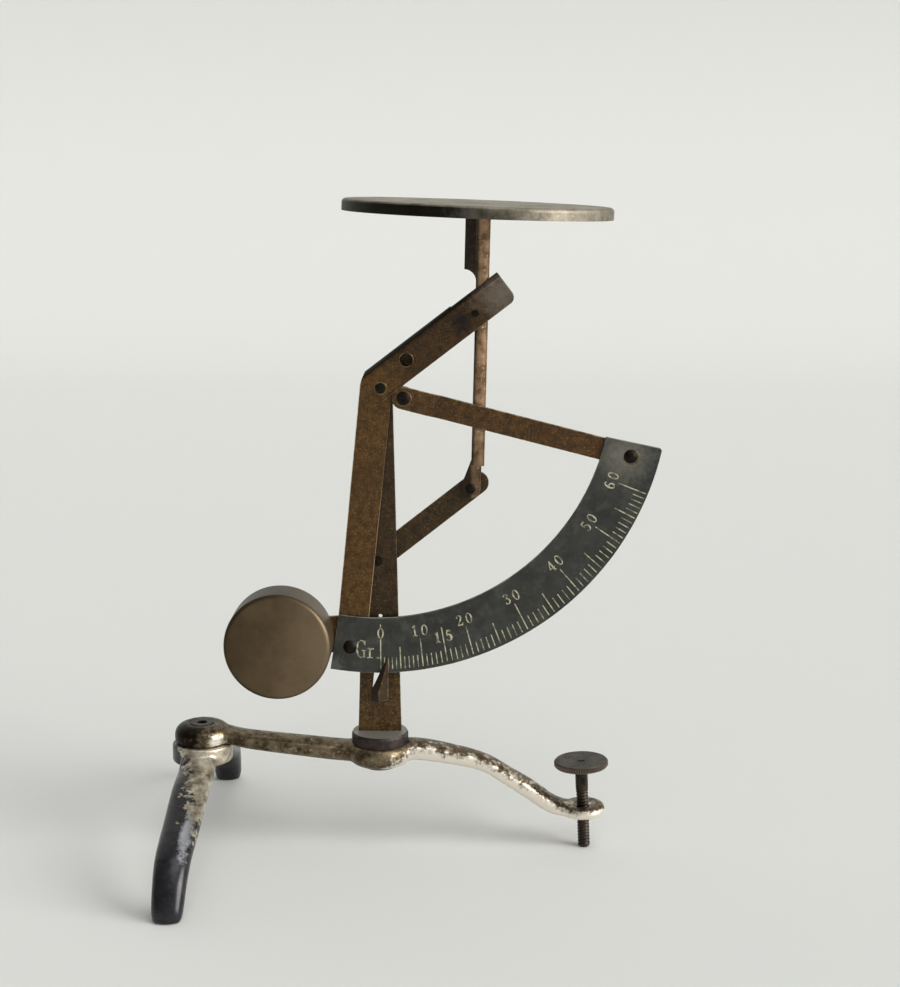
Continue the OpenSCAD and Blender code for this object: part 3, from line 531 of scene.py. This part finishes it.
def ream(mesh, at, lean, radius, deep):
    """Opens a bore again to radius mm where the soft skin has closed it, deep mm each way from at."""
    for vertex in mesh.vertices:
        off = vertex.co / MM - at
        out = off - lean * off.dot(lean)
        if out.length < radius and abs(off.dot(lean)) < deep:
            vertex.co += out.normalized() * (radius - out.length) * MM


def lip(name, at, radius, face_y, material):
    """Burr of bright metal, a small flat ring round a hole or a pin, on the face at face_y mm."""
    form = bmesh.new()
    turns, sides, thick = 48, 8, 0.13
    rings = []
    for i in range(turns):
        a = i / turns * math.tau
        ring = []
        for k in range(sides):
            b = k / sides * math.tau
            reach = radius + thick * math.cos(b)
            high = 0.5 * thick * math.sin(b)
            spot = Vector((at.x + reach * math.cos(a), face_y - high, at.z + reach * math.sin(a)))
            ring.append(form.verts.new(spot * MM))
        rings.append(ring)
    for i in range(turns):
        near, far = rings[i], rings[(i + 1) % turns]
        for k in range(sides):
            m = (k + 1) % sides
            form.faces.new((near[k], near[m], far[m], far[k]))
    bmesh.ops.recalc_face_normals(form, faces=form.faces)
    mesh = bpy.data.meshes.new(name)
    form.to_mesh(mesh)
    form.free()
    return piece(name, mesh, material, BODY_OF["balance_lever"], 60.0)


def finish(material, *nodes):
    """Gives CAD nodes their material."""
    for node in nodes:
        NODES[node].data.materials.clear()
        NODES[node].data.materials.append(material)


def threaded_screw(material):
    """Levelling screw: plain below the knob, then a V thread of 0.9 mm pitch down to its tip."""
    shank, pitch, depth, sides = 1.75, 0.9, 0.32, 40
    low, top_of_thread = -10.95, 5.9
    tip, chamfer = 1.3, 0.4
    # the shoulder under the knob, and the stub that is peened over through the knob's hole
    neck, shoulder, shoulder_h = 12.5135, 2.25, 0.8
    stub, stub_h = 1.05, 1.85
    step = pitch / 8
    steps = int((top_of_thread - low - chamfer) / step)
    stations = [(low, 0.0), (low, tip)]
    stations += [(low + chamfer + i * step, shank) for i in range(steps)]
    stations += [(top_of_thread + 0.2, shank), (neck - shoulder_h, shank), (neck - shoulder_h, shoulder),
                 (neck, shoulder), (neck, stub), (neck + stub_h, stub), (neck + stub_h, 0.0)]
    tilt = Vector((0.0, 0.0, 1.0)).rotation_difference(SCREW_LEAN)
    lean = Matrix.Translation(PIVOT["knob_turn"]) @ tilt.to_matrix().to_4x4()
    form = bmesh.new()
    rings = []
    for z, r in stations:
        ring = []
        for i in range(sides):
            turn = i / sides
            cut = 0.0
            if r == shank and z < top_of_thread:
                phase = (z / pitch - turn) % 1.0
                fade = min(1.0, (top_of_thread - z) / pitch, (z - low) / pitch)
                cut = depth * fade * (1 - abs(2 * phase - 1))
            a = turn * math.tau
            at = Vector(((r - cut) * math.cos(a), (r - cut) * math.sin(a), z)) * MM
            ring.append(form.verts.new(lean @ at))
        rings.append(ring)
    for lower, upper in zip(rings, rings[1:]):
        for i in range(sides):
            j = (i + 1) % sides
            form.faces.new((lower[i], lower[j], upper[j], upper[i]))
    bmesh.ops.remove_doubles(form, verts=form.verts, dist=0.001 * MM)
    mesh = bpy.data.meshes.new("threaded screw")
    form.to_mesh(mesh)
    form.free()
    shown = piece("threaded_screw", mesh, material, BODY_OF["levelling_screw"], 45.0)
    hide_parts("levelling_screw")
    return shown


# Dial

# The plate's outer radius and the height of the wax, in mm
PLATE_R = 79.5
WAX_H = 0.03
# Strokes of the numbers as (right, up, width), in parts of their height
THICK, THIN = 0.14, 0.065
ROUND = [
    (0.3 + 0.22 * math.cos(a), 0.5 + 0.46 * math.sin(a), THIN + (THICK - THIN) * abs(math.cos(a)) ** 1.5)
    for a in (i * math.tau / 16 for i in range(17))
]
GLYPHS = {
    "0": [ROUND],
    "1": [[(0.32, 0.0, THICK), (0.32, 1.0, THICK)], [(0.12, 0.8, THIN), (0.32, 0.97, THIN)],
          [(0.12, 0.03, THIN), (0.52, 0.03, THIN)]],
    "2": [[(0.12, 0.72, 0.14), (0.16, 0.88, 0.08), (0.3, 0.96, THIN), (0.44, 0.88, 0.13), (0.49, 0.72, THICK),
           (0.42, 0.52, 0.13), (0.26, 0.3, 0.08), (0.1, 0.06, THIN)],
          [(0.08, 0.06, 0.11), (0.52, 0.06, 0.12), (0.55, 0.22, THIN)]],
    "3": [[(0.12, 0.78, 0.14), (0.2, 0.92, 0.08), (0.33, 0.96, THIN), (0.46, 0.82, THICK), (0.4, 0.65, 0.1),
           (0.26, 0.56, THIN)],
          [(0.26, 0.56, THIN), (0.44, 0.46, 0.12), (0.51, 0.27, THICK), (0.42, 0.09, 0.1), (0.26, 0.03, THIN),
           (0.13, 0.1, 0.08), (0.1, 0.22, 0.14)]],
    "4": [[(0.42, 0.98, THIN), (0.06, 0.3, THIN)], [(0.04, 0.3, THIN), (0.58, 0.3, THIN)],
          [(0.42, 1.0, THICK), (0.42, 0.0, THICK)], [(0.28, 0.03, THIN), (0.56, 0.03, THIN)]],
    "5": [[(0.15, 0.93, 0.13), (0.5, 0.93, 0.13)], [(0.16, 0.93, THIN), (0.13, 0.55, THIN)],
          [(0.13, 0.55, THIN), (0.28, 0.62, 0.08), (0.44, 0.54, 0.12), (0.51, 0.34, THICK),
           (0.44, 0.12, 0.12), (0.28, 0.03, THIN), (0.14, 0.08, 0.08), (0.09, 0.2, 0.14)]],
    "6": [[(0.47, 0.84, 0.13), (0.37, 0.96, THIN), (0.22, 0.88, 0.1), (0.13, 0.64, 0.15), (0.1, 0.36, THICK),
           (0.17, 0.12, 0.13), (0.31, 0.03, THIN), (0.45, 0.12, 0.12), (0.51, 0.3, THICK), (0.45, 0.49, 0.12),
           (0.31, 0.57, THIN), (0.15, 0.46, THIN)]],
    "G": [[(0.5, 0.74, THIN), (0.43, 0.92, THIN), (0.3, 0.98, THIN), (0.14, 0.85, 0.11), (0.07, 0.5, THICK),
           (0.14, 0.15, 0.11), (0.3, 0.02, THIN), (0.45, 0.12, THIN)],
          [(0.46, 0.02, 0.12), (0.46, 0.4, 0.12)], [(0.34, 0.42, THIN), (0.6, 0.42, THIN)],
          [(0.51, 0.98, THIN), (0.51, 0.72, THIN)]],
    "r": [[(0.18, 0.02, 0.12), (0.18, 0.54, 0.12)], [(0.04, 0.03, THIN), (0.34, 0.03, THIN)],
          [(0.04, 0.52, THIN), (0.18, 0.55, THIN)], [(0.2, 0.4, THIN), (0.3, 0.53, THIN), (0.4, 0.5, 0.12)]],
    ".": [[(0.06, 0.01, 0.13), (0.19, 0.01, 0.13)]],
}


def dial_angle(grams):
    """Angle of a mark, from straight down: the law of a pendulum scale whose arm stands rise degrees up.

    balance is the load in grams that its pendulum's weight stands for, start the angle of the zero;
    the dial was cut a little wider than the law.
    """
    rise, balance, start, wider = math.radians(39.5), 58.2, math.radians(0.75), 1.02
    turned = math.atan2(grams * math.cos(rise), balance - grams * math.sin(rise))
    return start + wider * turned


def dial_marks(material):
    """Graduation, numbers and the unit, as wax a hair proud of the plate."""
    # the plate's arcs are struck a little to the left of the fulcrum
    centre = Vector((FULCRUM.x / MM - 1.15, FULCRUM.z / MM))
    form = bmesh.new()

    def line(points):
        """A closed ribbon through (x, z, width) points in mm, lying on the plate."""
        rings = []
        for i, (x, z, wide) in enumerate(points):
            a, b = points[max(i - 1, 0)], points[min(i + 1, len(points) - 1)]
            along = Vector((b[0] - a[0], b[1] - a[1])).normalized()
            side = Vector((-along.y, along.x)) * wide / 2
            one, other = (x + side.x, z + side.y), (x - side.x, z - side.y)
            under, over = PLATE_FRONT, PLATE_FRONT - WAX_H
            order = [(one, under), (one, over), (other, over), (other, under)]
            rings.append([form.verts.new((c[0] * MM, y * MM, c[1] * MM)) for c, y in order])
        for near, far in zip(rings, rings[1:]):
            for k in range(4):
                m = (k + 1) % 4
                form.faces.new((near[k], near[m], far[m], far[k]))
        form.faces.new(rings[0][::-1])
        form.faces.new(rings[-1])

    def word(text, at, turn, tall, step, bold=1.0):
        """Glyphs set side by side round the point at, their up direction turned by turn."""
        right = Vector((math.cos(turn), math.sin(turn)))
        up = Vector((-math.sin(turn), math.cos(turn)))
        start = at - right * step * (len(text) - 1) / 2
        for k, glyph in enumerate(text):
            place = start + right * step * k
            for stroke in GLYPHS[glyph]:
                spots = [(place + right * (x - 0.3) * tall + up * (y - 0.5) * tall, w) for x, y, w in stroke]
                line([(p.x, p.y, w * tall * bold) for p, w in spots])

    full, letter_rate = 60, 15
    gram_line, five_line, ten_line = 3.3, 6.1, 8.0
    own_line = {0: 8.7, letter_rate: 9.9}
    fine, heavy = 0.26, 0.3
    number_tall, unit_tall = 3.1, 5.2
    last = dial_angle(full)
    for grams in range(full + 1):
        angle = dial_angle(grams)
        outer = centre + (PLATE_R - 1.1 + 0.6 * angle / last) * Vector((math.sin(angle), -math.cos(angle)))
        # the lines were cut a little steeper than true spokes in the first half of the dial
        lean = angle - math.radians(5) * math.sin(math.pi * (angle / last) ** 0.7)
        inward = Vector((-math.sin(lean), math.cos(lean)))
        plain_line = ten_line if grams % 10 == 0 else five_line if grams % 5 == 0 else gram_line
        ends = (outer, outer + inward * own_line.get(grams, plain_line))
        line([(p.x, p.y, heavy if grams % 5 == 0 else fine) for p in ends])
        if grams == 0:
            # a short tick above the zero
            line([(p.x, p.y, fine) for p in (outer + inward * 11.8, outer + inward * 12.7)])
        if grams % 10 == 0 or grams == letter_rate:
            beyond = {0: 1.5, letter_rate: -2.7}.get(grams, 2.2)
            bold, step = (1.45, 3.3) if grams == letter_rate else (1.0, 2.75)
            word(str(grams), ends[1] + inward * beyond, lean, number_tall, step, bold)
    unit_left, unit_down = 4.4, 72.7
    unit = Vector((centre.x - unit_left, centre.y - unit_down))
    for glyph, along in (("G", 0.0), ("r", 3.0), (".", 5.6)):
        word(glyph, unit + Vector((along, 0.0)), 0.0, unit_tall, 0.0, 0.75)
    bmesh.ops.recalc_face_normals(form, faces=form.faces)
    mesh = bpy.data.meshes.new("dial marks")
    form.to_mesh(mesh)
    form.free()
    return piece("dial_marks", mesh, material, BODY_OF["quadrant"])


# Dressing

viewpoint()
studio()
lever_shaded = shaded_strip("unrubbed brown steel strip")
steel = dark_steel("dark oiled steel")["material"]
pressed("post", "slotted_post", lever_shaded, 0.12, rubbed_off=0.45)
pressed("balance_lever", "folded_lever", browned_lever(), 0.15, rubbed_off=0.74, least=4.0)
strut_brown = browned_strip("browned steel strut", "#38240b", "#5a3d18")["material"]
pressed("strut", "strut_strip", strut_brown, 0.12)
pressed("lower_link", "link_strip", lever_shaded, 0.12)
pressed("quadrant", "scale_plate", blackened_plate(), 0.12)
pressed("pan_stem", "ribbed_stem", browned_stem(), 0.1)
arm = cast("base_arm", "base_casting", worn_nickel(), voxel=0.4, passes=24)
ream(arm.data, PIVOT["knob_turn"] / MM, SCREW_LEAN, radius=1.85, deep=6.0)
cast("cross_legs", "leg_casting", flaking_legs(), voxel=0.4, passes=14)
threaded_screw(steel)
# cut steel, brighter than the browned strip round it
burr = aged_metal("bare steel burr", "#4a3c28", "#85754f", "#b5a988", "#b5a988", metallic=0.9, gloss=0.3,
                  patch=1.5)["material"]
ARM_HOLE = FULCRUM / MM + Vector((7.15, 0.0, 7.69))
# the burrs show more on the lower right of each pin
OFF_CENTRE = Vector((0.22, 0.0, -0.14))
lip("arm_hole_burr", ARM_HOLE, 1.9, ARM_FRONT, burr)
lip("fulcrum_burr", middle("fulcrum_pin") + OFF_CENTRE, 1.65, ARM_FRONT, burr)
lip("strut_burr", middle("strut_rivet") + OFF_CENTRE, RIVET_HEAD_R + 0.15, PLATE_FRONT, burr)
lip("plate_burr", PLATE_RIVET + OFF_CENTRE, RIVET_HEAD_R + 0.15, PLATE_FRONT, burr)
dial_marks(engraving_wax())
finish(knurled_steel(), "levelling_knob")
finish(steel, "hub_rivet")
finish(pin_steel(), "fulcrum_pin", "strut_rivet", "quadrant_rivets", "weight_stud", "link_pin",
       "link_end_pin", "stem_pin")
finish(dusty_collar(), "collar", "post_washer")
finish(drum_metal(), "weight_shell", "weight_cover", "weight_slug")
finish(pan_metal(), "pan", "pan_rivet")
